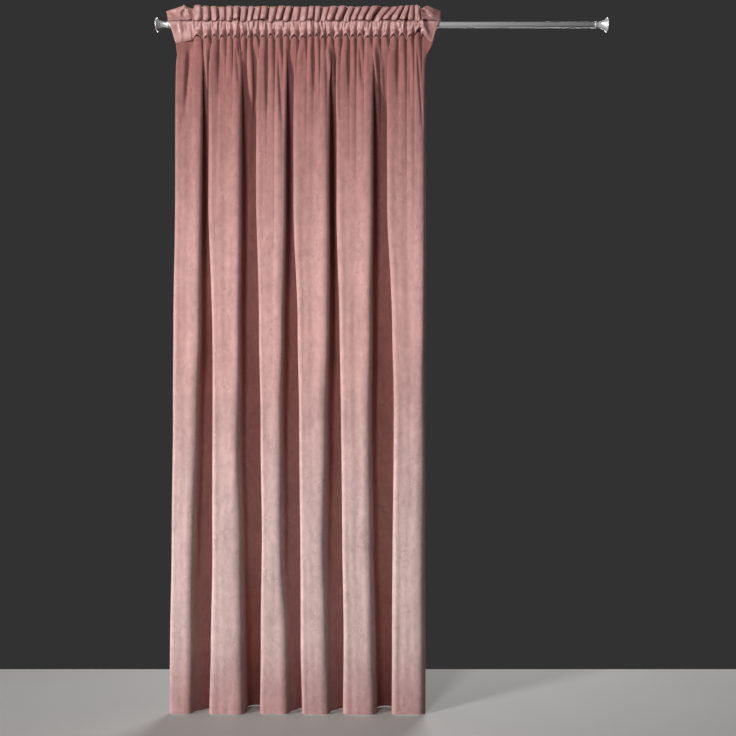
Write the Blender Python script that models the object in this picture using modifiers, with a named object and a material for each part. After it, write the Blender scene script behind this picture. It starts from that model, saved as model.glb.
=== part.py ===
"""A velvet curtain on a metal rod.

One panel of pile velvet hangs in six soft folds from a gathered heading. The heading is a strip of smoother
cloth, folded double: a frill stands above the rod, a row of stitches holds it, and the pocket below that row
goes round the rod down to the seam with the panel. The rod is a tube with a flared finial in each end.

Metres, +Z up. The origin is on the rod's axis, in the middle of its length. +X runs along the rod, and +Y goes
back to the wall, so the front of the curtain looks to -Y.
"""

import math
from collections import namedtuple

import bmesh
import bpy
import numpy as np

# The rod and its finials
ROD_DIAMETER = 0.022
ROD_LENGTH = 1.630
ROD_WALL = 0.0012
ROD_SIDES = 32
FINIAL_RIM_DIAMETER = 0.054
FINIAL_NECK_DIAMETER = 0.024
FINIAL_LENGTH = 0.050
SPIGOT_LENGTH = 0.030
FIT_GAP = 0.0003

# The cloth
CUT_WIDTH = 1.660
VELVET_THICKNESS = 0.002
HEADING_THICKNESS = 0.0016
SEAM_GAP = 0.0007

# Heights, measured from the rod's axis
FRILL_TOP = 0.0700
FRILL_SEAM = 0.0215
POCKET_SEAM = -0.0620
POCKET_END = -0.0725
HEM = -2.6320

# The heading's ends: where each of its lines starts at the left and stops at the right
Line = namedtuple("Line", "left right")
FRILL_TOP_LINE = Line(-0.834, 0.231)
FRILL_SEAM_LINE = Line(-0.821, 0.224)
POCKET_SEAM_LINE = Line(-0.790, 0.192)
GATHERED = Line(-0.724, 0.150)  # between these the heading is gathered; outside them it lies flat

# The gathers, from left to right: a row for each. `lean` is how far the ruffle's top stands to the right of its
# foot, `bulge` how far it stands out of the frill's plane, and `rise` how far it lifts the pocket's seam.
Gather = namedtuple("Gather", "width lean bulge rise")
GATHERS = (
    Gather(0.0375, 0.000, 0.006, 0.017),
    Gather(0.0330, -0.005, 0.014, 0.011),
    Gather(0.0295, -0.005, 0.013, 0.019),
    Gather(0.0275, -0.005, 0.007, 0.016),
    Gather(0.0255, 0.000, 0.012, 0.021),
    Gather(0.0275, 0.002, 0.015, 0.014),
    Gather(0.0255, 0.002, 0.013, 0.019),
    Gather(0.0220, 0.008, 0.011, 0.012),
    Gather(0.0275, 0.009, 0.011, 0.018),
    Gather(0.0300, 0.004, 0.014, 0.015),
    Gather(0.0285, 0.008, 0.012, 0.021),
    Gather(0.0285, 0.013, 0.014, 0.014),
    Gather(0.0300, 0.011, 0.013, 0.019),
    Gather(0.0345, 0.008, 0.005, 0.017),
    Gather(0.0305, 0.004, 0.010, 0.013),
    Gather(0.0265, 0.006, 0.013, 0.017),
    Gather(0.0235, 0.002, 0.012, 0.021),
    Gather(0.0225, 0.013, 0.009, 0.013),
    Gather(0.0300, 0.015, 0.014, 0.019),
    Gather(0.0325, 0.019, 0.014, 0.016),
    Gather(0.0285, 0.021, 0.011, 0.021),
    Gather(0.0260, 0.019, 0.010, 0.018),
    Gather(0.0285, 0.023, 0.013, 0.022),
    Gather(0.0325, 0.027, 0.015, 0.013),
    Gather(0.0325, 0.038, 0.008, 0.017),
    Gather(0.0330, 0.042, 0.012, 0.014),
    Gather(0.0335, 0.029, 0.014, 0.019),
    Gather(0.0320, 0.019, 0.013, 0.022),
    Gather(0.0285, 0.006, 0.012, 0.018),
    Gather(0.0265, -0.004, 0.008, 0.014),
)

# The six folds at several heights, from left to right. `left` and `right` bound the fold, `front` and `behind` are
# the distance of its face before the rod's axis and that of the valley after it, and `landing` is where its right
# flank reaches the valley, as a share of the way to the next fold. `shoulder` is how far before its right edge
# a face starts to turn back: crisp near the seam and soft near the floor.
Fold = namedtuple("Fold", "left right front behind landing")
Level = namedtuple("Level", "height shoulder folds")
LEVELS = (
    Level(-0.677, 0.004, (
        Fold(-0.789, -0.685, 0.034, 0.036, 0.16),
        Fold(-0.659, -0.534, 0.036, 0.032, 0.10),
        Fold(-0.479, -0.365, 0.034, 0.036, 0.18),
        Fold(-0.336, -0.199, 0.036, 0.038, 0.18),
        Fold(-0.172, -0.033, 0.036, 0.032, 0.10),
        Fold(0.021, 0.166, 0.036, 0.030, 0.10),
    )),
    Level(-1.171, 0.007, (
        Fold(-0.793, -0.688, 0.036, 0.038, 0.18),
        Fold(-0.645, -0.536, 0.038, 0.034, 0.10),
        Fold(-0.468, -0.372, 0.036, 0.036, 0.16),
        Fold(-0.320, -0.198, 0.038, 0.040, 0.20),
        Fold(-0.161, -0.034, 0.038, 0.036, 0.10),
        Fold(0.040, 0.167, 0.036, 0.030, 0.10),
    )),
    Level(-1.514, 0.020, (
        Fold(-0.796, -0.697, 0.036, 0.038, 0.16),
        Fold(-0.645, -0.538, 0.040, 0.036, 0.10),
        Fold(-0.462, -0.377, 0.036, 0.036, 0.12),
        Fold(-0.313, -0.206, 0.040, 0.042, 0.20),
        Fold(-0.155, -0.038, 0.040, 0.038, 0.10),
        Fold(0.048, 0.166, 0.036, 0.030, 0.10),
    )),
    Level(-1.976, 0.026, (
        Fold(-0.802, -0.711, 0.038, 0.038, 0.10),
        Fold(-0.645, -0.531, 0.042, 0.040, 0.10),
        Fold(-0.456, -0.375, 0.038, 0.036, 0.12),
        Fold(-0.311, -0.211, 0.042, 0.040, 0.16),
        Fold(-0.151, -0.034, 0.042, 0.042, 0.10),
        Fold(0.043, 0.166, 0.040, 0.030, 0.10),
    )),
    Level(-2.360, 0.024, (
        Fold(-0.806, -0.716, 0.038, 0.036, 0.40),
        Fold(-0.651, -0.525, 0.044, 0.064, 0.10),
        Fold(-0.460, -0.353, 0.040, 0.036, 0.40),
        Fold(-0.309, -0.201, 0.044, 0.036, 0.40),
        Fold(-0.144, -0.025, 0.046, 0.056, 0.10),
        Fold(0.040, 0.167, 0.042, 0.030, 0.10),
    )),
    Level(HEM, 0.026, (
        Fold(-0.809, -0.717, 0.040, 0.036, 0.70),
        Fold(-0.656, -0.521, 0.046, 0.078, 0.12),
        Fold(-0.463, -0.348, 0.042, 0.036, 0.70),
        Fold(-0.303, -0.196, 0.046, 0.036, 0.70),
        Fold(-0.147, -0.020, 0.048, 0.066, 0.12),
        Fold(0.039, 0.166, 0.046, 0.030, 0.10),
    )),
)
FLANK_TUCK = 0.013  # how far a flank runs in behind the edge of its own face
UNDERCUT = 0.006  # how far a crisp fold's right flank leans back under its edge
SOFTEST = 0.026  # the shoulder at which it no longer does
FLANK_SPREAD = 0.022  # how far the cloth of a flank is spread at the seam, each way
SIDE_RETURN = 0.006  # how far the curtain's two side edges turn back

# How fast the gathers under the pocket grow into the folds, in depth and to the sides
FOLD_FADE = 0.28
DRAW_FADE = 0.05
GATHER_DEPTH = 0.0075

# How finely the cloth is cut into faces
STEPS_PER_GATHER = 5
STEPS_PER_WING = 4
ROWS_BELOW_SEAM = (0.0, 0.02, 0.05, 0.09, 0.15, 0.25, 0.42, 0.65, 1.10, 1.50, 1.92, 2.26)


# ---------------------------------------------------------------- curves

def smooth_curve(knots, at):
    """Points on the natural cubic spline through the knots. `at` counts in knots, from 0."""
    steps = np.linalg.norm(np.diff(knots, axis=0), axis=1)
    count = len(knots)
    system = np.eye(count)
    pull = np.zeros_like(knots)
    for i in range(1, count - 1):
        before, after = steps[i - 1], steps[i]
        system[i, i - 1:i + 2] = before, 2 * (before + after), after
        pull[i] = 6 * ((knots[i + 1] - knots[i]) / after - (knots[i] - knots[i - 1]) / before)
    bend = np.linalg.solve(system, pull)
    i = np.minimum(at.astype(int), count - 2)
    share = (at - i)[:, None]
    rest = 1 - share
    sag = (rest**3 - rest) * bend[i] + (share**3 - share) * bend[i + 1]
    return rest * knots[i] + share * knots[i + 1] + steps[i][:, None]**2 / 6 * sag


def length_along(points):
    """The distance along a line of points, from its start to each of them."""
    return np.concatenate([[0.0], np.cumsum(np.linalg.norm(np.diff(points, axis=0), axis=1))])


def ease(share):
    """0 to 1 with a soft start and a soft end."""
    share = np.clip(share, 0.0, 1.0)
    return share * share * (3 - 2 * share)


def folds_at(height):
    """The six folds at any height, between the levels of the table, and their shoulder there."""
    for upper, lower in zip(LEVELS, LEVELS[1:]):
        if height >= lower.height:
            break
    share = ease((upper.height - height) / (upper.height - lower.height))
    rows = (1 - share) * np.array(upper.folds) + share * np.array(lower.folds)
    shoulder = (1 - share) * upper.shoulder + share * lower.shoulder
    return [Fold(*row) for row in rows], shoulder


def fold_knots(height):
    """The plan of the six folds at one height: x and y of the points that the cloth passes through."""
    folds, shoulder = folds_at(height)
    undercut = UNDERCUT * max(0.0, 1 - shoulder / SOFTEST)
    knots = []
    for place, fold in enumerate(folds):
        wide = fold.right - fold.left
        if place == 0:
            knots.append((fold.left + SIDE_RETURN, 0.3 * fold.behind))
        else:
            behind = folds[place - 1].behind
            knots.append((fold.left - 0.003, 0.92 * behind))
            knots.append((fold.left + FLANK_TUCK, 0.45 * behind))
        knots.append((fold.left + 0.003, -0.35 * fold.front))
        knots.append((fold.left, -0.74 * fold.front))
        knots.append((fold.left + 0.06 * wide, -0.95 * fold.front))
        knots.append((fold.left + 0.18 * wide, -0.98 * fold.front))
        knots.append((fold.left + 0.34 * wide, -0.997 * fold.front))
        knots.append((fold.left + 0.50 * wide, -fold.front))
        knots.append((fold.right - shoulder, -0.98 * fold.front))
        knots.append((fold.right - 0.3 * shoulder, -0.70 * fold.front))
        if place == len(folds) - 1:
            knots.append((fold.right, -0.20 * fold.front))
            knots.append((fold.right - SIDE_RETURN, 0.3 * fold.behind))
            break
        valley = folds[place + 1].left - fold.right
        knots.append((fold.right - undercut, -0.10 * fold.front))
        knots.append((fold.right + 0.75 * fold.landing * valley, (0.85 - 0.4 * fold.landing) * fold.behind))
        knots.append((fold.right + (0.60 * fold.landing + 0.30) * valley, fold.behind))
    return np.array(knots)


def fold_plan(height, shares):
    """Where each share of the cut width lies at one height, with the folds as deep as it takes for the whole
    width to lie in them."""
    knots = fold_knots(height)
    fine = np.linspace(0, len(knots) - 1, 1600)
    shallow, deep = 0.3, 2.5
    for _ in range(16):
        depth = (shallow + deep) / 2
        points = smooth_curve(knots * (1, depth), fine)
        run = length_along(points)
        if run[-1] < CUT_WIDTH:
            shallow = depth
        else:
            deep = depth
    return np.column_stack([np.interp(shares, run / run[-1], points[:, k]) for k in (0, 1)])


# ---------------------------------------------------------------- the gathers

def cloth_at(x):
    """The share of the cut width that hangs left of x at the seam: the folds' own plan, with the cloth of their
    flanks spread over a gather or two, so that each fold hangs straight down from the seam."""
    run = np.linspace(0, 1, 4000)
    plan = fold_plan(LEVELS[0].height, run)
    side = plan[:, 0].max()
    places = np.linspace(POCKET_SEAM_LINE.left, side, 800)
    first = np.interp(places, np.maximum.accumulate(plan[:, 0]), run)
    last = np.interp(places, np.minimum.accumulate(plan[::-1, 0])[::-1], run)
    share = (first + last) / 2
    kernel = np.hanning(2 * int(FLANK_SPREAD / (places[1] - places[0])) + 1)
    padded = np.pad(share, len(kernel) // 2, mode="reflect", reflect_type="odd")
    share = np.convolve(padded, kernel / kernel.sum(), mode="valid")
    share = (share - share[0]) / (share[-1] - share[0])
    share = 0.97 * share + 0.03 * np.linspace(0, 1, len(share))
    hung = np.interp(x, [POCKET_SEAM_LINE.left, GATHERED.right, POCKET_SEAM_LINE.right],
                     [POCKET_SEAM_LINE.left, GATHERED.right, side])
    return np.interp(hung, places, share)


def gather_columns():
    """One entry for each line of the cloth that runs down it: its x at the frill's seam, its place across its
    gather from 0 to 1, its gather's number, and how far out in a wing it lies."""
    hung = sum(gather.width for gather in GATHERS)
    columns = []
    for step in range(STEPS_PER_WING):
        outward = 1 - step / STEPS_PER_WING
        columns.append((GATHERED.left + outward * (FRILL_SEAM_LINE.left - GATHERED.left), 0.0, 0, -outward))
    passed = 0.0
    for number, gather in enumerate(GATHERS):
        for step in range(STEPS_PER_GATHER):
            across = step / STEPS_PER_GATHER
            done = (passed + across * gather.width) / hung
            columns.append((GATHERED.left + done * (GATHERED.right - GATHERED.left), across, number, 0.0))
        passed += gather.width
    for step in range(STEPS_PER_WING + 1):
        outward = step / STEPS_PER_WING
        x = GATHERED.right + outward * (FRILL_SEAM_LINE.right - GATHERED.right)
        columns.append((x, 0.0, len(GATHERS) - 1, outward))
    return np.array(columns).T


SEAM_X, ACROSS, NUMBER, OUTWARD = gather_columns()
GATHER_OF = np.array([GATHERS[int(number)] for number in NUMBER])
LEAN, BULGE, RISE = GATHER_OF[:, 1], GATHER_OF[:, 2], GATHER_OF[:, 3]
CROWN = np.sin(np.pi * ACROSS)**0.7  # 0 in the gaps between the gathers, 1 on their crowns
WING = np.abs(OUTWARD)


def spread_to(line):
    """The columns' x where the heading's line runs from line.left to line.right."""
    left = GATHERED.left + WING * (line.left - GATHERED.left)
    right = GATHERED.right + WING * (line.right - GATHERED.right)
    return np.where(OUTWARD < 0, left, np.where(OUTWARD > 0, right, SEAM_X))


def pocket_seam():
    """The seam between the pocket and the panel, as points: it waves in and out, and up and down."""
    x = spread_to(POCKET_SEAM_LINE)
    y = GATHER_DEPTH * (1 - 2 * CROWN) * (1 - WING)
    z = POCKET_SEAM + RISE * np.sin(np.pi * ACROSS) + ease(WING) * (POCKET_END - POCKET_SEAM)
    return np.stack([x, y, z], axis=1)


SHARE = cloth_at(spread_to(POCKET_SEAM_LINE))


def aside(points):
    """For each point, the level direction square to the line through the points, towards the front."""
    along = np.gradient(points[:, :2], axis=0)
    along /= np.linalg.norm(along, axis=1)[:, None]
    return np.stack([along[:, 1], -along[:, 0], np.zeros(len(points))], axis=1)


# ---------------------------------------------------------------- the cloth

def panel_rows():
    """The velvet panel as rows of points, from its seam down to its hem."""
    top = pocket_seam()
    rows = []
    for drop in ROWS_BELOW_SEAM:
        height = POCKET_SEAM - drop
        drawn = ease(1 - math.exp(-drop / DRAW_FADE))
        deep = ease(1 - math.exp(-drop / FOLD_FADE))
        folds = fold_plan(height, SHARE)
        x = (1 - drawn) * top[:, 0] + drawn * folds[:, 0]
        y = (1 - deep) * top[:, 1] + deep * folds[:, 1]
        z = height + (top[:, 2] - POCKET_SEAM) * (1 - drawn) - SEAM_GAP
        rows.append(np.column_stack([x, y, z]))
    rows.append(np.column_stack([fold_plan(HEM, SHARE), np.full(len(SHARE), HEM)]))
    return np.array(rows)


# The heading's section, from the front of the pocket over the frill's top and down the back. `swell` is the share
# of each gather's bulge that shows there, `lean` the share of its lean, and `reach` tells between which lines
# the heading ends: 0 at the pocket's seam, 1 at the frill's seam and 2 at the frill's top.
Station = namedtuple("Station", "height depth swell lean reach")
SECTION = (
    Station(-0.036, -0.0125, 0.45, 0.00, 0.25),
    Station(0.000, -0.0168, 0.15, 0.00, 0.75),
    Station(FRILL_SEAM, -0.0030, 0.00, 0.00, 1.00),
    Station(0.0275, -0.0050, 0.85, 0.10, 1.10),
    Station(0.0620, -0.0045, 0.90, 0.85, 1.85),
    Station(FRILL_TOP, 0.0000, 0.00, 1.00, 2.00),
    Station(0.0600, 0.0045, 0.60, 0.85, 1.85),
    Station(0.0290, 0.0050, 0.60, 0.15, 1.15),
    Station(FRILL_SEAM, 0.0030, 0.00, 0.00, 1.00),
    Station(0.000, 0.0168, 0.15, 0.00, 0.75),
    Station(-0.036, 0.0125, 0.35, 0.00, 0.25),
)
WING_RISE = 0.008  # the frill's top rises this much in the middle of a wing
WING_DROP = 0.011  # and drops this much at its tip
WING_BACK = 0.020  # while the tip leans back
CORNER_DROP = 0.002


def between(first, second, share):
    return Line(*(a + share * (b - a) for a, b in zip(first, second)))


def heading_rows():
    """The heading as rows of points, from its front lower edge over the frill to its back lower edge."""
    seam = pocket_seam() + (0, 0, SEAM_GAP)
    apart = (HEADING_THICKNESS / 2 + SEAM_GAP) * aside(seam)
    rows = [seam + apart]
    for station in SECTION:
        if station.reach <= 1:
            line = between(POCKET_SEAM_LINE, FRILL_SEAM_LINE, station.reach)
        else:
            line = between(FRILL_SEAM_LINE, FRILL_TOP_LINE, station.reach - 1)
        up = max(station.reach - 1, 0)
        x = spread_to(line) + station.lean * LEAN * (1 - WING)
        y = station.depth + math.copysign(station.swell, station.depth) * BULGE * CROWN
        y = y + up * WING_BACK * WING**2
        z = station.height - min(station.reach, 1) * CORNER_DROP * WING**2
        z = z + up * (WING_RISE * np.sin(np.pi * WING) - WING_DROP * WING**2)
        rows.append(np.column_stack([x, y, z]))
    rows.append(seam - apart)
    return np.array(rows)


def material(name, colour, roughness, metallic=0.0):
    made = bpy.data.materials.new(name)
    made.use_nodes = True
    shader = made.node_tree.nodes["Principled BSDF"]
    shader.inputs["Base Color"].default_value = (*colour, 1.0)
    shader.inputs["Roughness"].default_value = roughness
    shader.inputs["Metallic"].default_value = metallic
    return made


def place(name, mesh, collection, finish):
    mesh.materials.append(finish)
    mesh.shade_smooth()
    placed = bpy.data.objects.new(name, mesh)
    collection.objects.link(placed)
    return placed


def cloth(name, rows, thickness, collection, finish):
    """A sheet through the rows of points, thickened to both sides."""
    down, across = rows.shape[:2]
    faces = [
        (i * across + j, i * across + j + 1, (i + 1) * across + j + 1, (i + 1) * across + j)
        for i in range(down - 1)
        for j in range(across - 1)
    ]
    mesh = bpy.data.meshes.new(name)
    mesh.from_pydata(rows.reshape(-1, 3).tolist(), [], faces)
    sheet = place(name, mesh, collection, finish)
    thick = sheet.modifiers.new("Thickness", "SOLIDIFY")
    thick.thickness = thickness
    thick.offset = 0.0
    return sheet


# ---------------------------------------------------------------- the rod

def rod_tube(collection, finish):
    mesh = bpy.data.meshes.new("rod")
    shell = bmesh.new()
    bmesh.ops.create_cone(
        shell, cap_ends=False, segments=ROD_SIDES,
        radius1=ROD_DIAMETER / 2, radius2=ROD_DIAMETER / 2, depth=ROD_LENGTH,
    )
    shell.to_mesh(mesh)
    shell.free()
    tube = place("rod", mesh, collection, finish)
    tube.rotation_euler = (0, math.pi / 2, 0)
    wall = tube.modifiers.new("Wall", "SOLIDIFY")
    wall.thickness = ROD_WALL
    wall.offset = -1.0
    return tube


def finial_profile():
    """Radius and distance from the tube's end, from the middle of the rim's face to the foot of the spigot."""
    rim, neck = FINIAL_RIM_DIAMETER / 2, FINIAL_NECK_DIAMETER / 2
    spigot = ROD_DIAMETER / 2 - ROD_WALL - 0.0004
    lip = 0.0035
    profile = [(0.0, FINIAL_LENGTH - 0.0015), (rim - 0.005, FINIAL_LENGTH - 0.0015), (rim - 0.003, FINIAL_LENGTH)]
    for step in range(5):
        turn = math.radians(90 - 45 * step)
        profile.append((rim - lip / 2 + lip / 2 * math.cos(turn), FINIAL_LENGTH - lip / 2 + lip / 2 * math.sin(turn)))
    collar_end, flare_end = 0.0065, FINIAL_LENGTH - lip
    for step in range(1, 9):
        share = 1 - step / 8
        radius = neck - 0.001 + (rim - lip / 2 - neck) * share**2.0
        profile.append((radius, collar_end + 0.002 + share * (flare_end - collar_end - 0.002)))
    profile += [
        (neck - 0.001, collar_end),
        (neck, collar_end - 0.001),
        (neck, FIT_GAP),
        (spigot, FIT_GAP),
        (spigot, 0.002 - SPIGOT_LENGTH),
        (spigot - 0.002, -SPIGOT_LENGTH),
        (0.0, -SPIGOT_LENGTH),
    ]
    return profile


def finial(name, side, collection, finish):
    """A flared finial, turned about the rod's axis. `side` is -1 at the left end of the rod and 1 at the right."""
    profile = finial_profile()
    mesh = bpy.data.meshes.new(name)
    mesh.from_pydata([(r, 0, z) for r, z in profile], [(i, i + 1) for i in range(len(profile) - 1)], [])
    turned = place(name, mesh, collection, finish)
    turn = turned.modifiers.new("Turn", "SCREW")
    turn.steps = turn.render_steps = ROD_SIDES
    turn.use_merge_vertices = True
    turn.merge_threshold = 0.00001
    turned.rotation_euler = (0, side * math.pi / 2, 0)
    turned.location = (side * ROD_LENGTH / 2, 0, 0)
    return turned


def main():
    for old in list(bpy.data.objects):
        bpy.data.objects.remove(old, do_unlink=True)
    collection = bpy.data.collections.new("Velvet curtain")
    bpy.context.scene.collection.children.link(collection)
    velvet = material("Velvet", (0.46, 0.25, 0.23), 0.85)
    smooth_cloth = material("Heading cloth", (0.50, 0.28, 0.26), 0.55)
    cloth("velvet_panel", panel_rows(), VELVET_THICKNESS, collection, velvet)
    cloth("heading", heading_rows(), HEADING_THICKNESS, collection, smooth_cloth)
    rod_tube(collection, material("Rod metal", (0.62, 0.63, 0.64), 0.28, 1.0))
    for name, side in (("finial_left", -1), ("finial_right", 1)):
        finial(name, side, collection, material(f"{name} metal", (0.62, 0.63, 0.64), 0.32, 1.0))


main()
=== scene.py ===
"""The looks of a velvet curtain on a metal rod.

The pile velvet panel hangs in six soft folds under a gathered heading of smoother cloth. Both are thin
sheets on their CAD solids' folds, with the finer gathers, creases and puckers added, and with the sewing as
real thread. Metres, in the frame of the CAD model: the rod's axis is at y = z = 0, and the curtain's front
looks to -Y.
"""

import math
from collections import namedtuple

import bpy
import numpy as np
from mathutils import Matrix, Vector, noise


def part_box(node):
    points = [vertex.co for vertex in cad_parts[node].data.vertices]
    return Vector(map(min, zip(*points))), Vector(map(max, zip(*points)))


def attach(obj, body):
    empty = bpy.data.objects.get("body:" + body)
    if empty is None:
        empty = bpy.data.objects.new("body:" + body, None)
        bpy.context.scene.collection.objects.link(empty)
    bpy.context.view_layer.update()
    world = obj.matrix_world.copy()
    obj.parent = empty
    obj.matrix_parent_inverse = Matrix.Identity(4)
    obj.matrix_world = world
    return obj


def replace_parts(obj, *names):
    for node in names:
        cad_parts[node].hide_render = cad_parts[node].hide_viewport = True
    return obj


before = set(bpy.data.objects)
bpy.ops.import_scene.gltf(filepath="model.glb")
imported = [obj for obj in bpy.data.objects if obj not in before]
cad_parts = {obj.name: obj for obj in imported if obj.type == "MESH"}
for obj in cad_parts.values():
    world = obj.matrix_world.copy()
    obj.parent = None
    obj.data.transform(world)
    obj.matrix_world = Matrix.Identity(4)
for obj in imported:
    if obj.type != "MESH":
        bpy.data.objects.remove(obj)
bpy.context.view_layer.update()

# ---- sizes

ROD_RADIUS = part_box("rod")[1].z
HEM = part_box("velvet_panel")[0].z
FRILL_TOP = 0.0700
FRILL_SEAM = 0.0215
POCKET_SEAM = -0.0620
POCKET_END = -0.0725
DROP = POCKET_SEAM - HEM
CUT_WIDTH = 1.660
HEADING_WIDTH = 1.500  # the panel is eased into this when the two are sewn together
THICKNESS = {"velvet": 0.0016, "heading_cloth": 0.0011}
SIDE_HEM = 0.018

# The heading's ends: where each of its lines starts at the left and stops at the right
Line = namedtuple("Line", "left right")
FRILL_TOP_LINE = Line(-0.834, 0.231)
FRILL_SEAM_LINE = Line(-0.821, 0.224)
POCKET_SEAM_LINE = Line(-0.790, 0.192)
GATHERED = Line(-0.724, 0.150)

# A row for each gather, from left to right. `lean` is how far the ruffle's top stands to the right of its
# foot, `bulge` how far it stands out, `rise` how far it lifts the pocket's seam, and `run` how far down the
# velvet it can still be seen. `foot` is how far its ruffle hangs over the stitches, and `top` how far its top
# stands up.
Gather = namedtuple("Gather", "width lean bulge rise run foot top")
GATHERS = [Gather(*row) for row in (
    (0.0375, 0.000, 0.011, 0.017, 0.07, 0.006, 0.0055),
    (0.0330, -0.005, 0.014, 0.011, 0.33, 0.007, 0.0000),
    (0.0295, -0.005, 0.013, 0.019, 0.14, 0.008, 0.0000),
    (0.0275, -0.005, 0.010, 0.016, 0.07, 0.005, -0.0010),
    (0.0255, 0.000, 0.012, 0.021, 0.05, 0.009, 0.0010),
    (0.0275, 0.002, 0.015, 0.014, 0.10, 0.001, 0.0000),
    (0.0255, 0.002, 0.013, 0.019, 0.18, 0.011, -0.0010),
    (0.0220, 0.008, 0.011, 0.012, 0.28, 0.009, 0.0010),
    (0.0275, 0.009, 0.011, 0.018, 0.14, 0.003, 0.0000),
    (0.0300, 0.004, 0.014, 0.015, 0.10, 0.001, 0.0000),
    (0.0285, 0.008, 0.012, 0.021, 0.18, 0.014, -0.0020),
    (0.0285, 0.013, 0.014, 0.014, 0.28, 0.005, 0.0010),
    (0.0300, 0.011, 0.013, 0.019, 0.10, 0.010, 0.0000),
    (0.0345, 0.008, 0.009, 0.017, 0.05, 0.007, 0.0000),
    (0.0305, 0.004, 0.010, 0.013, 0.10, 0.008, -0.0010),
    (0.0265, 0.006, 0.013, 0.017, 0.14, 0.001, 0.0000),
    (0.0235, 0.002, 0.012, 0.021, 0.07, 0.009, 0.0010),
    (0.0225, 0.013, 0.009, 0.013, 0.10, 0.008, -0.0010),
    (0.0300, 0.015, 0.014, 0.019, 0.23, 0.006, 0.0000),
    (0.0325, 0.019, 0.014, 0.016, 0.14, 0.007, 0.0010),
    (0.0285, 0.021, 0.011, 0.021, 0.10, 0.013, 0.0000),
    (0.0260, 0.019, 0.010, 0.018, 0.18, 0.004, -0.0010),
    (0.0285, 0.023, 0.013, 0.022, 0.14, 0.005, 0.0000),
    (0.0325, 0.027, 0.015, 0.013, 0.10, 0.007, 0.0000),
    (0.0325, 0.038, 0.010, 0.017, 0.28, 0.012, -0.0020),
    (0.0330, 0.042, 0.012, 0.014, 0.23, 0.001, -0.0010),
    (0.0335, 0.029, 0.014, 0.019, 0.07, 0.006, 0.0010),
    (0.0320, 0.019, 0.013, 0.022, 0.14, 0.003, 0.0030),
    (0.0285, 0.006, 0.012, 0.018, 0.23, 0.004, 0.0040),
    (0.0265, -0.004, 0.011, 0.014, 0.10, 0.009, 0.0060),
)]
GATHER_DEPTH = 0.0075
ARCH = 0.65  # the sharpness of the pocket seam's arches over the gathers
ARCH_END = 0.20  # how far down the panel those arches can be felt
DRAW_FADE = 0.05  # how soon below the seam the cloth draws together into the folds
FOLD_FADE = 0.28  # how soon the folds grow deep
GATHER_KEPT = 0.42  # the share of its depth that a gather keeps once the cloth has drawn together
GATHER_REACH = 2.2  # times its `run`: where a gather is down to a third
GATHER_END = 1.4  # how sharply it ends there
SHORT_GATHER = 0.75  # the depth of a gather with hardly any run, as a share of GATHER_DEPTH
LONG_GATHER = 1.25  # the most that share can be
DEEPER = 1.6  # what a metre of `run` adds to it
FLANK_SPREAD = 0.022  # how far the cloth of a fold's flanks is spread along the seam
EVEN_CLOTH = 0.03  # the share of the cloth that is spread along the whole seam

# The six folds at several heights, from left to right. `left` and `right` bound the fold, `front` and
# `behind` are the distance of its face before the rod's axis and that of the valley after it, and `landing`
# is where its right flank reaches the valley, as a share of the way to the next fold. `shoulder` is how far
# before its right edge a face starts to turn back: crisp near the seam and soft near the floor.
Fold = namedtuple("Fold", "left right front behind landing")
Level = namedtuple("Level", "height shoulder folds")
LEVELS = (
    Level(-0.677, 0.004, (
        (-0.789, -0.685, 0.034, 0.036, 0.16),
        (-0.659, -0.534, 0.036, 0.032, 0.10),
        (-0.479, -0.365, 0.034, 0.036, 0.18),
        (-0.336, -0.199, 0.036, 0.038, 0.18),
        (-0.172, -0.033, 0.036, 0.032, 0.10),
        (0.021, 0.166, 0.036, 0.030, 0.10),
    )),
    Level(-1.171, 0.007, (
        (-0.793, -0.688, 0.036, 0.038, 0.18),
        (-0.645, -0.536, 0.038, 0.034, 0.10),
        (-0.468, -0.372, 0.036, 0.036, 0.16),
        (-0.320, -0.198, 0.038, 0.040, 0.20),
        (-0.161, -0.034, 0.038, 0.036, 0.10),
        (0.040, 0.167, 0.036, 0.030, 0.10),
    )),
    Level(-1.514, 0.020, (
        (-0.796, -0.697, 0.036, 0.038, 0.16),
        (-0.645, -0.538, 0.040, 0.036, 0.10),
        (-0.462, -0.377, 0.036, 0.036, 0.12),
        (-0.313, -0.206, 0.040, 0.042, 0.20),
        (-0.155, -0.038, 0.040, 0.038, 0.10),
        (0.048, 0.166, 0.036, 0.030, 0.10),
    )),
    Level(-1.976, 0.026, (
        (-0.802, -0.711, 0.038, 0.038, 0.10),
        (-0.645, -0.531, 0.042, 0.040, 0.10),
        (-0.456, -0.375, 0.038, 0.036, 0.12),
        (-0.311, -0.211, 0.042, 0.040, 0.16),
        (-0.151, -0.034, 0.042, 0.042, 0.10),
        (0.043, 0.166, 0.040, 0.030, 0.10),
    )),
    Level(-2.360, 0.024, (
        (-0.806, -0.716, 0.038, 0.036, 0.40),
        (-0.651, -0.525, 0.044, 0.064, 0.10),
        (-0.460, -0.353, 0.040, 0.036, 0.40),
        (-0.309, -0.201, 0.044, 0.036, 0.40),
        (-0.144, -0.025, 0.046, 0.056, 0.10),
        (0.040, 0.167, 0.042, 0.030, 0.10),
    )),
    Level(HEM, 0.026, (
        (-0.809, -0.717, 0.040, 0.036, 0.70),
        (-0.656, -0.521, 0.046, 0.078, 0.12),
        (-0.463, -0.348, 0.042, 0.036, 0.70),
        (-0.303, -0.196, 0.046, 0.036, 0.70),
        (-0.147, -0.020, 0.048, 0.066, 0.12),
        (0.039, 0.166, 0.046, 0.030, 0.10),
    )),
)
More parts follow.
